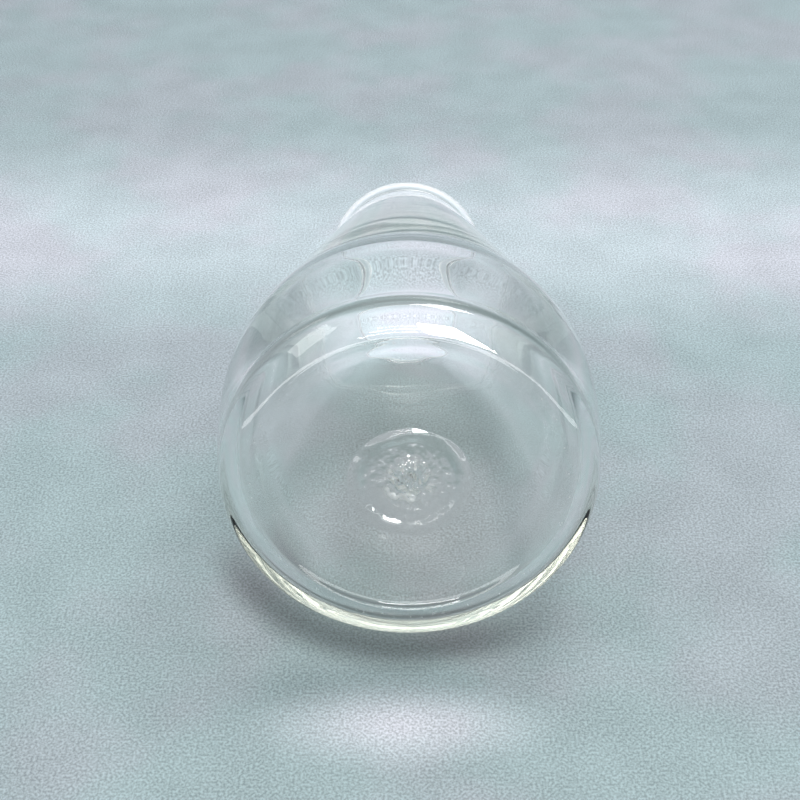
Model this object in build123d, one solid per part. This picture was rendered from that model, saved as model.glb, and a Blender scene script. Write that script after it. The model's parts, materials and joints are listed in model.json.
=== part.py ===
"""A mouth-blown glass flask lying on its side, in millimetres.

The glass is shaped about the Y axis first, with the standing ring at Y = 0 and the mouth towards +Y. It is then laid
down on its bulb and its lip, as it rests on a table. X of a profile point is its radius, and Y how far along it is.
"""

import os
from math import acos, atan2, cos, degrees, hypot, radians, sin, sqrt, tan

from build123d import *

# Outside of the body
bulb_r = 50.0  # widest radius of the bulb
bulb_at = 34.0  # the widest circle, from the standing ring
shoulder_curve_r = 50.0  # the bulb's side behind the widest circle
shoulder_lean = radians(18)  # how steeply the shoulder falls where it turns into the neck
crease_r = 30.0  # hollow curve between shoulder and neck
neck_end_at = 150.0  # where the neck passes into the lip

# Heel, standing ring and base
heel_r = 47.2  # where the heel rounds into the bulb
heel_at = 5.0
stand_r = 39.0  # middle of the ring worn flat by standing
stand_width = 2.0
kick_up = 1.8  # how far the base is pushed up inside the standing ring
kick_flat_r = 19.0  # flat middle of the pushed-up base

# Thickness of the glass
base_wall = 2.4
foot_wall = 3.8  # where the heel ends
waist_wall = 2.6  # at the widest circle
shoulder_wall = 2.3
lip_wall = 3.5
inner_corner_r = 7.0  # the inside between the base and the wall

# Lip
throat_r = 22.3  # straight inside of the mouth, which takes a bung
lip_length = 12.5
bead_r = 2.0  # section of the rolled bead

# Scar on the base, where the iron was cracked off
scar_r = 14.5
scar_rim = 2.6  # width of its raised rim
scar_rim_high = 0.9
scar_floor_high = 0.3
nub_r = 4.6
nub_high = 1.2
nub_off = 2.0  # the broken nub sits a little off the axis

# Where one stretch of the outside passes into the next
shoulder_at = bulb_at + shoulder_curve_r * sin(shoulder_lean)
shoulder_r = bulb_r - shoulder_curve_r * (1 - cos(shoulder_lean))
lip_top_at = neck_end_at + lip_length
bead_at = lip_top_at - bead_r
neck_end_r = throat_r + lip_wall


def line_lean():
    """Lean of the straight line that leaves the hollow curve smoothly and reaches the end of the neck."""
    across = shoulder_r + crease_r * cos(shoulder_lean) - neck_end_r
    along = neck_end_at - shoulder_at - crease_r * sin(shoulder_lean)
    return acos(crease_r / hypot(across, along)) - atan2(along, across)


neck_lean = line_lean()
crease_at = shoulder_at + crease_r * (sin(shoulder_lean) - sin(neck_lean))
crease_end_r = shoulder_r - crease_r * (cos(neck_lean) - cos(shoulder_lean))
bead_mid_r = neck_end_r - tan(neck_lean) * (bead_at - bead_r - neck_end_at)
floor_at = kick_up + base_wall
foot_at = floor_at + inner_corner_r


def front_radius(at):
    """Outside radius of the bulb between the heel and its widest circle, where it lies along one long curve."""
    rise = bulb_r - heel_r
    run = bulb_at - heel_at
    curve_r = (run**2 + rise**2) / (2 * rise)
    return bulb_r - curve_r + sqrt(curve_r**2 - (bulb_at - at) ** 2)


foot_r = front_radius(foot_at) - foot_wall
floor_r = foot_r - inner_corner_r

# Points that two pieces share, as (radius, distance along)
ring_in = (stand_r - stand_width / 2, 0.0)
ring_out = (stand_r + stand_width / 2, 0.0)
floor_edge = (floor_r, floor_at)
foot_in = (foot_r, foot_at)
foot_out = (front_radius(foot_at), foot_at)
shoulder_in = (shoulder_r - shoulder_wall, shoulder_at)
shoulder_out = (shoulder_r, shoulder_at)
throat_low = (throat_r, neck_end_at)
neck_end = (neck_end_r, neck_end_at)


def turned(*edges):
    """A solid of glass, from a closed section turned about the flask's axis."""
    return revolve(make_face(edges), Axis.Y, 360)


def path(*points):
    """Straight edges from point to point."""
    return [Line(a, b) for a, b in zip(points, points[1:])]


def front_edge(start, end):
    """That long curve between two places along the bulb."""
    return ThreePointArc(*[(front_radius(at), at) for at in (start, (start + end) / 2, end)])


def make_base_plate():
    """The bottom of the flask, pushed up a little. A cone from the standing ring to the floor's edge is its rim."""
    return turned(*path((0, floor_at), (0, kick_up), (kick_flat_r, kick_up), ring_in, floor_edge, (0, floor_at)))


def make_heel():
    """The glass from the standing ring round into the side."""
    half = sqrt(0.5)
    mid = (ring_out[0] + half * (heel_r - ring_out[0]), (1 - half) * heel_at)
    outer = ThreePointArc(ring_out, mid, (heel_r, heel_at))
    corner_mid = (floor_r + half * inner_corner_r, foot_at - half * inner_corner_r)
    inner = ThreePointArc(foot_in, corner_mid, floor_edge)
    side = front_edge(heel_at, foot_at)
    return turned(*path(floor_edge, ring_in, ring_out), outer, side, *path(foot_out, foot_in), inner)


def make_bulb():
    """The wall of the bulb, thickest at its foot."""
    widest = (bulb_r, bulb_at)
    lean = shoulder_lean / 2
    mid = (bulb_r - shoulder_curve_r * (1 - cos(lean)), bulb_at + shoulder_curve_r * sin(lean))
    back = ThreePointArc(widest, mid, shoulder_out)
    inner = ThreePointArc(shoulder_in, (bulb_r - waist_wall, bulb_at), foot_in)
    ends = [*path(foot_in, foot_out), *path(shoulder_out, shoulder_in)]
    return turned(front_edge(foot_at, bulb_at), back, inner, *ends)


def make_neck():
    """The long neck, narrowing from the shoulder to the lip."""
    lean = (shoulder_lean + neck_lean) / 2
    mid_at = shoulder_at + crease_r * (sin(shoulder_lean) - sin(lean))
    mid_r = shoulder_r - crease_r * (cos(lean) - cos(shoulder_lean))
    crease_end = (crease_end_r, crease_at)
    crease = ThreePointArc(shoulder_out, (mid_r, mid_at), crease_end)
    return turned(crease, *path(crease_end, neck_end, throat_low, shoulder_in, shoulder_out))


def make_lip():
    """The mouth: a straight throat with its edge rolled outwards into a bead."""
    bead_low = (bead_mid_r, bead_at - bead_r)
    bead_top = (bead_mid_r, lip_top_at)
    bead = ThreePointArc(bead_low, (bead_mid_r + bead_r, bead_at), bead_top)
    soft = bead_mid_r - throat_r
    throat_top = (throat_r, lip_top_at - soft)
    edge_mid = (bead_mid_r - soft * sqrt(0.5), throat_top[1] + soft * sqrt(0.5))
    edge = ThreePointArc(bead_top, edge_mid, throat_top)
    return turned(*path(throat_top, throat_low, neck_end, bead_low), bead, edge)


def make_scar():
    """The rough ring and nub of glass that the iron left on the base."""
    floor_face = kick_up - scar_floor_high
    rim_in = (scar_r - scar_rim, floor_face)
    rim_out = (scar_r, kick_up)
    crest = (scar_r - scar_rim / 2, kick_up - scar_rim_high)
    ridge = ThreePointArc(rim_in, crest, rim_out)
    disc = turned(ridge, *path(rim_out, (0, kick_up), (0, floor_face), rim_in))
    ball_r = (nub_r**2 + nub_high**2) / (2 * nub_high)
    ball = Pos(0, kick_up - nub_high + ball_r, nub_off) * Sphere(ball_r)
    below = Pos(0, kick_up - nub_r, 0) * Box(4 * nub_r, 2 * nub_r, 4 * nub_r)
    return disc + (ball & below)


def rest_tilt():
    """Angle at which a table touches both the bulb's shoulder and the lip's bead."""
    across = bead_mid_r - (bulb_r - shoulder_curve_r)
    along = bead_at - bulb_at
    return atan2(along, across) - acos((shoulder_curve_r - bead_r) / hypot(across, along))


tilt = rest_tilt()
rest_depth = (bulb_r - shoulder_curve_r) * cos(tilt) + bulb_at * sin(tilt) + shoulder_curve_r

nodes = {
    "base_plate": make_base_plate(),
    "heel": make_heel(),
    "bulb_wall": make_bulb(),
    "neck": make_neck(),
    "lip": make_lip(),
    "pontil_scar": make_scar(),
}
laid = Pos(0, 0, rest_depth) * Rot(X=-degrees(tilt))
nodes = {name: laid * solid for name, solid in nodes.items()}
span = Compound(children=[Part() + solid for solid in nodes.values()]).bounding_box()
centred = Pos(0, -span.center().Y, 0)

os.makedirs("parts", exist_ok=True)
for name, solid in nodes.items():
    placed = centred * solid
    placed.label = name
    export_step(placed, f"parts/{name}.step")
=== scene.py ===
"""Looks of a mouth-blown glass flask that lies on its side, on pale felt in soft studio light.

The flask's own space has Y along its axis, from the standing ring at 0 towards the mouth. Its lengths are in
millimetres. Mesh vertices, materials and the stage are in metres.
"""

import json
import random
from math import cos, hypot, pi, radians, sin, sqrt, tan

import bpy
from mathutils import Matrix, Vector, noise


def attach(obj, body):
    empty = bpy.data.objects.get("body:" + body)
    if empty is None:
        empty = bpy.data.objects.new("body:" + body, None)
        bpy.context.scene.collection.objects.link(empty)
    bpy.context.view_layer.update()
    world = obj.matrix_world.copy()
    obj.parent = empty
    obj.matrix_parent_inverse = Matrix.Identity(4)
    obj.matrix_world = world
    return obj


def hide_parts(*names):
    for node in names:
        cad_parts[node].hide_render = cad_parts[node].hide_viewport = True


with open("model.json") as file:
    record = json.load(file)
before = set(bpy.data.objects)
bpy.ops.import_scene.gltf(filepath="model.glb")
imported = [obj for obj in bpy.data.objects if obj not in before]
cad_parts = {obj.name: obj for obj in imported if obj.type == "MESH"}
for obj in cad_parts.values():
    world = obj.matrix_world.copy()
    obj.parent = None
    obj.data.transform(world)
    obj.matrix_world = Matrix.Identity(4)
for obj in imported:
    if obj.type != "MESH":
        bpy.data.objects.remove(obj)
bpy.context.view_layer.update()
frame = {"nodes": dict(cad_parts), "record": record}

MM = 0.001

# The flask's outside
bulb_r = 50.0
bulb_at = 34.0
shoulder_curve_r = 50.0
shoulder_lean = radians(18)
crease_r = 30.0
neck_lean = radians(12.1)
heel_r = 47.2
heel_at = 5.0
stand_r = 39.0
stand_width = 2.0
kick_up = 1.8
kick_flat_r = 19.0
push_up = ((29.0, 1.62), (34.5, 0.9), (37.3, 0.22))

# Its inside
base_wall = 2.4
foot_wall = 3.8
waist_wall = 2.6
shoulder_wall = 2.3
inner_corner_r = 7.0
inner_neck_r = 33.2
inner_neck_at = 100.0
throat_r = 22.3

# Its lip
neck_end_at = 150.0
lip_top_at = 162.5
bead_r = 2.0

# The scar on the base
scar_r = 14.5
scar_rim = 2.6
scar_rim_high = 0.5
scar_rim_wander = 0.6
scar_grain_high = 0.16
nub_r = 4.6
nub_high = 1.6
nub_off = 2.0
nub_grain = 1.3

# Unevenness of hand work, and the specks of stone in the glass
outer_wave = 0.07
inner_wave = 0.09
wave_fineness = 0.045
even_middle_r = 20
lip_calm = 0.3
base_specks = (  # size, distance from the axis, angle
    (0.16, 22.0, 1.2),
    (0.14, 13.0, 2.6),
    (0.2, 30.0, 4.1),
    (0.12, 33.0, 0.4),
    (0.15, 27.0, 5.4),
    (0.13, 35.0, 3.4),
    (0.12, 18.0, 0.2),
    (0.14, 25.0, 2.0),
)
neck_speck_count = 14
speck_depth_in_base = 0.35
speck_depth_in_neck = 0.7

segments = 240


def arc(mid, radii, start, end, steps):
    """Points (radius, distance along) on an oval arc. The angle is 0 along the radius, and grows towards
    the mouth."""
    angles = [start + (end - start) * i / steps for i in range(steps + 1)]
    return [(mid[0] + radii[0] * cos(a), mid[1] + radii[1] * sin(a)) for a in angles]


def round_arc(mid, radius, start, end, steps):
    """Points on a round arc."""
    return arc(mid, (radius, radius), start, end, steps)


def line(a, b, steps):
    """Points from a to b."""
    return [(a[0] + (b[0] - a[0]) * i / steps, a[1] + (b[1] - a[1]) * i / steps) for i in range(steps + 1)]


def between_knots(p, q, r, s, t):
    """One coordinate of a smooth curve, a share t of the way from knot q to r, with p before and s after."""
    return 0.5 * (2 * q + (r - p) * t + (2 * p - 5 * q + 4 * r - s) * t**2 + (3 * q - p - 3 * r + s) * t**3)


def smooth_curve(knots, steps):
    """Points on a smooth curve through the knots."""
    padded = [knots[0], *knots, knots[-1]]
    points = []
    for a, b, c, d in zip(padded, padded[1:], padded[2:], padded[3:]):
        for i in range(steps):
            points.append(tuple(between_knots(*four, i / steps) for four in zip(a, b, c, d)))
    return points + [knots[-1]]


def joined(*stretches):
    """One list of points, without the doubled ones where stretches meet."""
    same_place = 0.01
    points = []
    for p in (p for stretch in stretches for p in stretch):
        if not points or hypot(p[0] - points[-1][0], p[1] - points[-1][1]) > same_place:
            points.append(p)
    return points


shoulder = (
    bulb_r - shoulder_curve_r * (1 - cos(shoulder_lean)),
    bulb_at + shoulder_curve_r * sin(shoulder_lean),
)
crease_end = (
    shoulder[0] - crease_r * (cos(neck_lean) - cos(shoulder_lean)),
    shoulder[1] + crease_r * (sin(shoulder_lean) - sin(neck_lean)),
)


def neck_radius(at):
    """Outside radius of the neck, which narrows evenly."""
    return crease_end[0] - tan(neck_lean) * (at - crease_end[1])


def front_radius(at):
    """Outside radius of the bulb between the heel and its widest circle."""
    rise = bulb_r - heel_r
    run = bulb_at - heel_at
    curve_r = (run**2 + rise**2) / (2 * rise)
    return bulb_r - curve_r + sqrt(curve_r**2 - (bulb_at - at) ** 2)


bead_at = lip_top_at - bead_r
bead_mid_r = neck_radius(bead_at - bead_r)
ring_out = stand_r + stand_width / 2
floor_at = kick_up + base_wall
foot_at = floor_at + inner_corner_r
foot_r = front_radius(foot_at) - foot_wall
floor_r = foot_r - inner_corner_r


def outside():
    """The outside from the middle of the base to the top of the lip."""
    front_steps = 24
    front = [heel_at + (bulb_at - heel_at) * i / front_steps for i in range(front_steps + 1)]
    crease_mid = (shoulder[0] + crease_r * cos(shoulder_lean), shoulder[1] + crease_r * sin(shoulder_lean))
    return joined(
        line((0.0, kick_up), (kick_flat_r, kick_up), 60),
        smooth_curve([(kick_flat_r, kick_up), *push_up, (stand_r, 0.0), (ring_out, 0.0)], 10),
        arc((ring_out, heel_at), (heel_r - ring_out, heel_at), -pi / 2, 0, 20),
        [(front_radius(at), at) for at in front],
        round_arc((bulb_r - shoulder_curve_r, bulb_at), shoulder_curve_r, 0, shoulder_lean, 16),
        round_arc(crease_mid, crease_r, pi + shoulder_lean, pi + neck_lean, 6),
        line(crease_end, (bead_mid_r, bead_at - bead_r), 40),
        round_arc((bead_mid_r, bead_at), bead_r, -pi / 2, pi / 2, 14),
    )


def inside():
    """The inside from the top of the lip to the middle of the base."""
    soft = bead_mid_r - throat_r
    wall_knots = [
        (throat_r, neck_end_at),
        (inner_neck_r, inner_neck_at),
        (shoulder[0] - shoulder_wall, shoulder[1]),
        (bulb_r - waist_wall, bulb_at),
        (foot_r, foot_at),
    ]
    return joined(
        round_arc((bead_mid_r, lip_top_at - soft), soft, pi / 2, pi, 8),
        line((throat_r, lip_top_at - soft), (throat_r, neck_end_at), 4),
        smooth_curve(wall_knots, 22),
        round_arc((floor_r, foot_at), inner_corner_r, 0, -pi / 2, 14),
        line((floor_r, floor_at), (0.0, floor_at), 24),
    )


def noise_around(angle, level, fineness):
    """Noise that changes smoothly around the axis."""
    return noise.noise(Vector((cos(angle), sin(angle), level)) * fineness)


def scar_relief(radius, angle):
    """How far the scar stands out of the base there."""
    if radius > scar_r + 2:
        return 0.0
    x = radius * cos(angle)
    z = radius * sin(angle)
    grain = noise.fractal(Vector((x, z, 0.3)) * 0.55, 0.9, 2.1, 4)
    wander = scar_rim_wander * noise_around(angle, 4.0, 1.7)
    from_rim = abs(radius - (scar_r - scar_rim / 2) - wander)
    broken = 0.65 + 0.7 * noise_around(angle, 9.0, 2.6)
    rim = scar_rim_high * broken * max(0.0, 1 - (from_rim / (scar_rim * 0.75)) ** 2)
    from_nub = hypot(x, z - nub_off) / (1.1 * nub_r)
    nub = nub_high * max(0.0, 1 - from_nub**2) * (1 + nub_grain * grain)
    rough = scar_grain_high * grain * max(0.0, 1 - (radius / scar_r) ** 4)
    return max(rim, nub) + rough


def surface_point(profile_point, normal, angle, is_outside):
    """A point of the glass in metres, with the slight unevenness of hand work."""
    radius, along = profile_point
    uneven_at = Vector((radius * cos(angle), along, radius * sin(angle)))
    amount, shift = (outer_wave, 0) if is_outside else (inner_wave, 31)
    calm = min(1.0, radius / even_middle_r) * (lip_calm if along > neck_end_at else 1.0)
    wave = amount * calm * noise.noise(uneven_at * wave_fineness + Vector((0, 0, shift)))
    radius += normal[0] * wave
    along += normal[1] * wave
    if is_outside and along < heel_at and radius < kick_flat_r:
        along -= scar_relief(radius, angle)
    return (radius * cos(angle) * MM, along * MM, radius * sin(angle) * MM)


def band_faces(rings):
    """Faces between rings of vertex numbers. A ring that is one vertex throughout gives triangles."""
    faces = []
    for low, high in zip(rings, rings[1:]):
        for j in range(len(low)):
            k = (j + 1) % len(low)
            corners = [low[j], high[j], high[k], low[k]]
            faces.append(list(dict.fromkeys(corners)))
    return faces


def smooth_mesh(name, verts, faces, material):
    """A mesh that is shaded as one smooth surface."""
    mesh = bpy.data.meshes.new(name)
    mesh.from_pydata(verts, [], faces)
    mesh.polygons.foreach_set("use_smooth", [True] * len(faces))
    mesh.update()
    mesh.materials.append(material)
    return mesh


def glass_mesh(name, material):
    """The whole flask as one skin of glass, closed over the lip."""
    out = outside()
    profile = joined(out, inside())
    last = len(profile) - 1
    verts = []
    rings = []
    for i, point in enumerate(profile):
        before, after = profile[max(i - 1, 0)], profile[min(i + 1, last)]
        step = (after[0] - before[0], after[1] - before[1])
        size = hypot(*step)
        normal = (step[1] / size, -step[0] / size)
        start = len(verts)
        on_axis = i in (0, last)
        rings.append([start] * segments if on_axis else list(range(start, start + segments)))
        for j in range(1 if on_axis else segments):
            verts.append(surface_point(point, normal, 2 * pi * j / segments, i < len(out)))
    return smooth_mesh(name, verts, band_faces(rings), material)


def lump(centre, out, size):
    """Vertices of a flat round grain, thinnest along out."""
    turns = 10
    side = out.orthogonal().normalized()
    other = out.cross(side)
    verts = []
    for share, rise in ((0.75, -0.3), (1.0, 0.0), (0.75, 0.3)):
        for j in range(turns):
            a = 2 * pi * j / turns
            verts.append(centre + (side * cos(a) + other * sin(a)) * size * share + out * size * rise)
    low, high = len(verts), len(verts) + 1
    verts += [centre - out * size * 0.5, centre + out * size * 0.5]
    faces = []
    for j in range(turns):
        k = (j + 1) % turns
        for ring in (0, turns):
            faces.append([ring + j, ring + k, ring + turns + k, ring + turns + j])
        faces.append([k, j, low])
        faces.append([2 * turns + j, 2 * turns + k, high])
    return verts, faces


def speck_lumps():
    """The stones in the base, which are placed, and those in the neck, which are scattered."""
    lumps = []
    for size, radius, angle in base_specks:
        rise = kick_up if radius < kick_flat_r else kick_up * (1 - ((radius - kick_flat_r) / 20) ** 2)
        centre = Vector((radius * cos(angle), rise + speck_depth_in_base, radius * sin(angle)))
        lumps.append(lump(centre, Vector((0, -1, 0)), size))
    picks = random.Random(7)
    for _ in range(neck_speck_count):
        along = picks.uniform(52, 140)
        angle = picks.uniform(0, 2 * pi)
        out = Vector((cos(angle), 0, sin(angle)))
        centre = out * (neck_radius(along) - speck_depth_in_neck) + Vector((0, along, 0))
        lumps.append(lump(centre, out, picks.uniform(0.1, 0.2)))
    return lumps


def specks_mesh(name, material):
    """Tiny stones in the skin of the glass."""
    verts = []
    faces = []
    for lump_verts, lump_faces in speck_lumps():
        faces += [[len(verts) + corner for corner in face] for face in lump_faces]
        verts += [v * MM for v in lump_verts]
    return smooth_mesh(name, verts, faces, material)


def add(name, data):
    """An object in the scene."""
    made = bpy.data.objects.new(name, data)
    bpy.context.scene.collection.objects.link(made)
    return made


# The flask's place in the row frame, from the mounts of its base and mouth
mounts = {m["name"]: m for m in frame["record"]["mounts"]}
mouth = Vector(mounts["mouth"]["pos_m"])
axis = Vector(mounts["mouth"]["axis"]).normalized()
base = Vector(mounts["standing_base"]["pos_m"])
ring_centre = mouth - axis * (mouth - base).dot(axis)
tilt = Vector((0, 1, 0)).angle(axis)
placed = Matrix.Translation(ring_centre) @ Matrix.Rotation(-tilt, 4, "X")


class Nodes:
    """A small helper that adds shader nodes and links them."""

    def __init__(self, name):
        self.material = bpy.data.materials.new(name)
        self.material.use_nodes = True
        self.tree = self.material.node_tree
        self.shader = self.tree.nodes["Principled BSDF"]
        self.output = self.tree.nodes["Material Output"]

    def set(self, socket, value):
        """Link a socket to another, or give it a constant."""
        if isinstance(value, bpy.types.NodeSocket):
            self.tree.links.new(value, socket)
        else:
            socket.default_value = value

    def add(self, kind, settings=None, **inputs):
        """A node. An underscore in an input's name stands for a space."""
        made = self.tree.nodes.new(kind)
        for key, value in (settings or {}).items():
            setattr(made, key, value)
        for key, value in inputs.items():
            self.set(made.inputs[key.replace("_", " ")], value)
        return made

    def shade(self, **inputs):
        """Set inputs of the surface shader."""
        for key, value in inputs.items():
            self.set(self.shader.inputs[key.replace("_", " ")], value)

    def coords(self):
        return self.add("ShaderNodeTexCoord").outputs["Object"]

    def apart(self, vector):
        return self.add("ShaderNodeSeparateXYZ", Vector=vector).outputs

    def math(self, operation, a, b=0.0):
        made = self.add("ShaderNodeMath", {"operation": operation})
        self.set(made.inputs[0], a)
        self.set(made.inputs[1], b)
        return made.outputs[0]

    def length(self, a, b):
        """The length of a vector with the parts a and b."""
        return self.math("SQRT", self.math("ADD", self.math("MULTIPLY", a, a), self.math("MULTIPLY", b, b)))

    def noise(self, vector, scale, detail):
        return self.add("ShaderNodeTexNoise", Vector=vector, Scale=scale, Detail=detail).outputs["Fac"]

    def between(self, value, low, high, to_low=0.0, to_high=1.0):
        """A smooth step from to_low, at low, to to_high, at high."""
        made = self.add("ShaderNodeMapRange", {"interpolation_type": "SMOOTHSTEP"}, Value=value)
        for key, number in zip(("From Min", "From Max", "To Min", "To Max"), (low, high, to_low, to_high)):
            made.inputs[key].default_value = number
        return made.outputs[0]

    def blend(self, factor, a, b, how="MIX"):
        """Colour a turning into b, or into their product, as factor grows to 1."""
        made = self.add("ShaderNodeMix", {"data_type": "RGBA", "blend_type": how}, Factor=factor, A=a, B=b)
        return made.outputs["Result"]

    def let_light_through(self, share, edge_share):
        """Let lamps shine through the glass, with a soft shadow where it stands on edge to them."""
        on_edge = self.between(self.add("ShaderNodeLayerWeight", Blend=0.5).outputs["Facing"], 0.55, 1.0)
        clear = self.add("ShaderNodeBsdfTransparent", Color=self.blend(on_edge, share, edge_share))
        mix = self.add("ShaderNodeMixShader")
        self.set(mix.inputs[0], self.add("ShaderNodeLightPath").outputs["Is Shadow Ray"])
        self.set(mix.inputs[1], self.shader.outputs[0])
        self.set(mix.inputs[2], clear.outputs[0])
        self.set(self.output.inputs["Surface"], mix.outputs[0])


def glass_material():
    """Clear old glass: faintly yellow in depth, scuffed on its standing ring, rough on the scar."""
    n = Nodes("old_clear_glass")
    own = n.add("ShaderNodeMapping", {"vector_type": "TEXTURE"}, Vector=n.coords(), Location=ring_centre)
    own.inputs["Rotation"].default_value = (-tilt, 0, 0)
    coords = own.outputs[0]
    x, along, z = n.apart(coords)
    radius = n.length(x, z)
    at_base = n.between(along, 1.9 * MM, 2.6 * MM, 1.0, 0.0)

    from_ring = n.math("ABSOLUTE", n.math("SUBTRACT", radius, stand_r * MM))
    near_ring = n.between(from_ring, 0.3 * MM, 1.5 * MM, 1.0, 0.0)
    scuffs = n.between(n.noise(coords, 700.0, 6.0), 0.50, 0.72)
    worn = n.math("MULTIPLY", n.math("MULTIPLY", near_ring, at_base), scuffs)
    in_scar = n.math("MULTIPLY", n.between(radius, 3.5 * MM, 9.0 * MM, 1.0, 0.0), at_base)
    chips = n.between(n.noise(coords, 420.0, 6.0), 0.40, 0.66)
    broken = n.math("MULTIPLY", in_scar, chips)

    smears = n.between(n.noise(coords, 38.0, 4.0), 0.48, 0.75, 0.0, 0.018)
    lip_haze = n.between(along, (neck_end_at + 2) * MM, (lip_top_at - 3) * MM, 0.0, 0.34)
    damage = n.math("ADD", n.math("MULTIPLY", worn, 0.34), n.math("MULTIPLY", broken, 0.6))
    turned = n.add("ShaderNodeCombineXYZ", X=radius).outputs[0]
    rings = n.math("MULTIPLY", n.math("MULTIPLY", n.noise(turned, 260.0, 1.0), at_base), 0.35)
    waves = n.math("ADD", n.noise(coords, 45.0, 1.0), n.math("MULTIPLY", broken, 2.0))
    bump = n.add("ShaderNodeBump", Strength=0.02, Distance=0.002, Height=n.math("ADD", waves, rings))
    n.shade(
        Base_Color=n.blend(broken, (0.99, 0.99, 0.985, 1), (1.0, 0.97, 0.90, 1)),
        Transmission_Weight=n.math("SUBTRACT", 1.0, n.math("MULTIPLY", broken, 0.55)),
        Roughness=n.math("ADD", damage, n.math("ADD", smears, lip_haze)),
        Normal=bump.outputs[0],
        IOR=1.5,
    )
    depth = n.add("ShaderNodeVolumeAbsorption", Color=(0.90, 0.90, 0.72, 1), Density=5.0)
    n.set(n.output.inputs["Volume"], depth.outputs[0])
    n.let_light_through((0.985, 0.985, 0.985, 1), (0.35, 0.37, 0.38, 1))
    return n.material


def speck_material():
    """Dark grey specks of unmelted stone, some paler."""
    n = Nodes("stone_specks")
    pale = n.between(n.noise(n.coords(), 60.0, 1.0), 0.35, 0.65)
    n.shade(Base_Color=n.blend(pale, (0.10, 0.11, 0.11, 1), (0.75, 0.76, 0.72, 1)), Roughness=0.5)
    return n.material


def painted_glass_light(n, coords):
    """Painted light and shade that stand in for what the glass gathers on the felt, or keeps from it:
    painted light under the flask and in a patch in front of it, with a painted shadow, a dim crescent,
    between them. Also how much of it is the patch, from 0 to 1."""
    across, along, _ = n.apart(coords)

    def oval(x, y, half_x, half_y):
        """0 in the middle of an oval on the felt, and 1 on its edge."""
        dx = n.math("DIVIDE", n.math("SUBTRACT", across, x), half_x)
        dy = n.math("DIVIDE", n.math("SUBTRACT", along, y), half_y)
        return n.length(dx, dy)

    from_bulb = oval(x=0.0, y=-0.035, half_x=0.050, half_y=0.046)
    from_neck = oval(x=0.0, y=0.080, half_x=0.050, half_y=0.080)
    from_patch = oval(x=-0.002, y=-0.1055, half_x=0.046, half_y=0.017)
    # Painted light: the felt is made brighter under the bulb and under the neck.
    under_bulb = n.between(from_bulb, 0.55, 1.0, 0.36, 0.0)
    under_neck = n.between(from_neck, 0.4, 1.0, 0.52, 0.0)
    # Painted light: a bright patch on the felt in front of the flask.
    patch = n.between(from_patch, 0.0, 1.0, 1.0, 0.0)
    light = n.math("ADD", n.math("ADD", 1.0, under_bulb), under_neck)
    light = n.math("ADD", light, n.math("MULTIPLY", patch, 0.62))

    # Painted shadow: a dim crescent on the felt in front of the bulb.
    rim = n.math("MULTIPLY", n.between(from_bulb, 0.72, 0.97), n.between(from_bulb, 0.99, 1.22, 1.0, 0.0))
    slanted = n.math("ADD", along, n.math("MULTIPLY", across, 0.35))
    in_front = n.between(slanted, -0.078, -0.048, 0.55, 0.0)
    crescent = n.math("MULTIPLY", rim, in_front)
    return n.math("SUBTRACT", light, crescent), patch


def felt_tones_and_painted_band(n, coords):
    """The felt's broad shades: a painted band of light behind the flask, darker beyond it and far to the
    sides.
    """
    front = (0.40, 0.47, 0.485)
    beside = (0.41, 0.475, 0.50)
    # Painted light: the pale band is lighter because of how light falls, not because of the felt's own tone.
    painted_light_band = (0.60, 0.635, 0.68)
    beyond = (0.40, 0.455, 0.48)
    shades = (
        (0.0, front),
        (0.40, beside),
        (0.54, painted_light_band),
        (0.63, painted_light_band),
        (0.80, beyond),
        (1.0, beyond),
    )
    across, along, _ = n.apart(coords)
    near = n.between(n.math("ABSOLUTE", across), 0.35, 0.75, 1.0, 0.0)
    ramp = n.add("ShaderNodeValToRGB", Fac=n.math("MULTIPLY", n.between(along, -0.2, 0.4), near))
    elements = ramp.color_ramp.elements
    while len(elements) < len(shades):
        elements.new(0.5)
    for element, (place, shade) in zip(elements, shades):
        element.position = place
        element.color = (*shade, 1)
    return ramp.outputs[0]


def felt_material():
    """Pale grey-green felt with a fine grain and faint clouds, and painted light and shade for what the
    glass gathers on it.
    """
    n = Nodes("pale_felt")
    coords = n.coords()
    grain = n.noise(coords, 1500.0, 5.0)
    mottle = n.noise(coords, 45.0, 5.0)
    cloud = n.between(n.noise(coords, 14.0, 4.0), 0.42, 0.60)
    fine = n.between(grain, 0.3, 0.7, 0.72, 1.28)
    coarse = n.between(mottle, 0.3, 0.7, -0.05, 0.05)
    blush = n.blend(cloud, (0.955, 1.015, 0.995, 1), (1.045, 0.995, 1.01, 1))
    light, patch = painted_glass_light(n, coords)
    colour = n.blend(1.0, felt_tones_and_painted_band(n, coords), n.math("ADD", fine, coarse), "MULTIPLY")
    colour = n.blend(1.0, colour, blush, "MULTIPLY")
    # Painted light: the patch in front of the flask is made brighter and faintly pink.
    colour = n.blend(patch, colour, (1.24, 1.0, 1.05, 1), "MULTIPLY")
    # The felt's colour is scaled by the painted light and shade.
    lit = n.add("ShaderNodeVectorMath", {"operation": "SCALE"}, Scale=light)
    n.set(lit.inputs[0], colour)
    bump = n.add("ShaderNodeBump", Strength=0.4, Distance=0.0004, Height=grain)
    n.shade(Base_Color=lit.outputs[0], Normal=bump.outputs[0], Roughness=0.95, Sheen_Weight=0.15)
    return n.material


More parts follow.
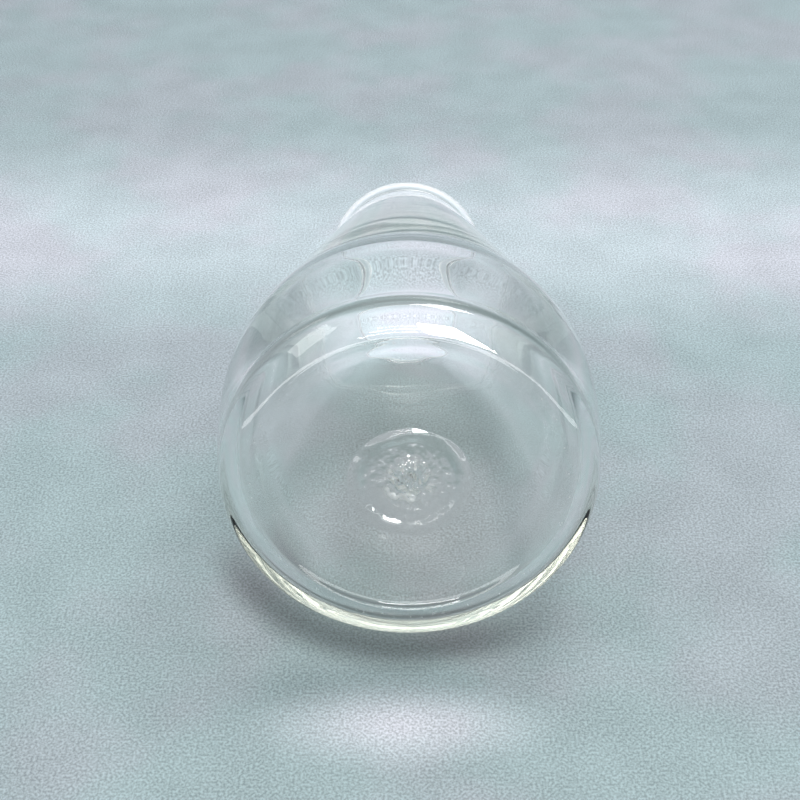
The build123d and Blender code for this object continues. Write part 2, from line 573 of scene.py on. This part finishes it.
def studio_floor():
    """A round felt floor that bends up into a wall far from the flask, the same from every side."""
    flat = 1.5
    bend = 0.5
    wall = 1.4
    sides = 96
    bend_steps = 12
    profile = [(0.0, 0.0), (0.3, 0.0), (flat, 0.0)]
    for i in range(1, bend_steps + 1):
        a = pi / 2 * i / bend_steps
        profile.append((flat + bend * sin(a), bend * (1 - cos(a))))
    profile.append((flat + bend, bend + wall))
    turn = [2 * pi * j / sides for j in range(sides)]
    verts = [(r * cos(a), r * sin(a), z) for r, z in profile for a in turn]
    rings = [range(i * sides, (i + 1) * sides) for i in range(len(profile))]
    return add("studio_floor", smooth_mesh("studio_floor", verts, band_faces(rings), felt_material()))


def area_light(name, place, aim, size, power, colour=(1, 1, 1)):
    """A soft rectangular lamp that points at a place."""
    lamp = bpy.data.lights.new(name, "AREA")
    lamp.shape = "RECTANGLE"
    lamp.size, lamp.size_y = size
    lamp.energy = power
    lamp.color = colour
    made = add(name, lamp)
    made.location = place
    made.rotation_euler = (Vector(aim) - Vector(place)).to_track_quat("-Z", "Y").to_euler()
    return made


def reflected_only(lamp):
    """Keep a lamp for the highlights on the glass, without light on the felt."""
    lamp.visible_diffuse = False
    lamp.visible_transmission = False
    lamp.visible_camera = False


# The glass
body_mesh = glass_mesh("glass_flask", glass_material())
body_mesh.transform(placed)
flask = add("glass_flask", body_mesh)
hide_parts(*frame["nodes"])
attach(flask, "root")

stone_mesh = specks_mesh("glass_specks", speck_material())
stone_mesh.transform(placed)
specks = add("glass_specks", stone_mesh)
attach(specks, "root")

# The stage
studio_floor()
middle = (0, 0, 0.05)
area_light("window", place=(0.30, 0.30, 1.2), aim=middle, size=(0.5, 0.42), power=9)
left_fill = area_light("left_fill", place=(-0.9, -0.3, 0.9), aim=middle, size=(0.5, 0.5), power=3)
left_fill.visible_glossy = False

pane_at = (0.046, -0.40, 0.150)
pane_aim = (0.012, -0.085, 0.095)
pane = area_light("side_window", pane_at, pane_aim, size=(0.058, 0.17), power=3.4, colour=(0.95, 0.98, 1.0))
tubes = []
for i in range(3):
    tube_at = (-0.02, -1.1, 0.39 - 0.15 * i)
    tubes.append(area_light(f"tube_{i}", tube_at, middle, size=(0.2, 0.028), power=0.4))
strip_at = (0, -0.45, 0.022)
low_strip = area_light("low_strip", strip_at, aim=(0, -0.08, 0.03), size=(0.7, 0.022), power=0.25)
for lamp in [pane, low_strip, *tubes]:
    reflected_only(lamp)

scene = bpy.context.scene
scene.world = bpy.data.worlds.new("studio_air")
scene.world.use_nodes = True
air = scene.world.node_tree.nodes["Background"]
air.inputs["Color"].default_value = (0.75, 0.8, 0.85, 1)
air.inputs["Strength"].default_value = 0.85

# The camera looks down past the base, along the flask
camera_lens = 58.6
camera_dip = radians(27.0)  # how much more steeply than the flask's axis the camera looks down
camera_back = 0.3182
camera_up = 0.0210
camera_left = 0.0023
dip = tilt + camera_dip
forward = Vector((0, cos(dip), -sin(dip)))
upward = Vector((0, sin(dip), cos(dip)))
camera = add("camera", bpy.data.cameras.new("camera"))
camera.data.lens = camera_lens
camera.data.sensor_width = 36
camera.data.clip_start = 0.01
camera.location = ring_centre - forward * camera_back + upward * camera_up - Vector((camera_left, 0, 0))
camera.rotation_euler = (pi / 2 - dip, 0, 0)
scene.camera = camera

scene.view_settings.view_transform = "Standard"
scene.cycles.use_denoising = True
scene.cycles.max_bounces = 36
scene.cycles.transmission_bounces = 36
scene.cycles.glossy_bounces = 24
scene.cycles.caustics_refractive = False
scene.cycles.caustics_reflective = False
scene.cycles.sample_clamp_indirect = 4.0
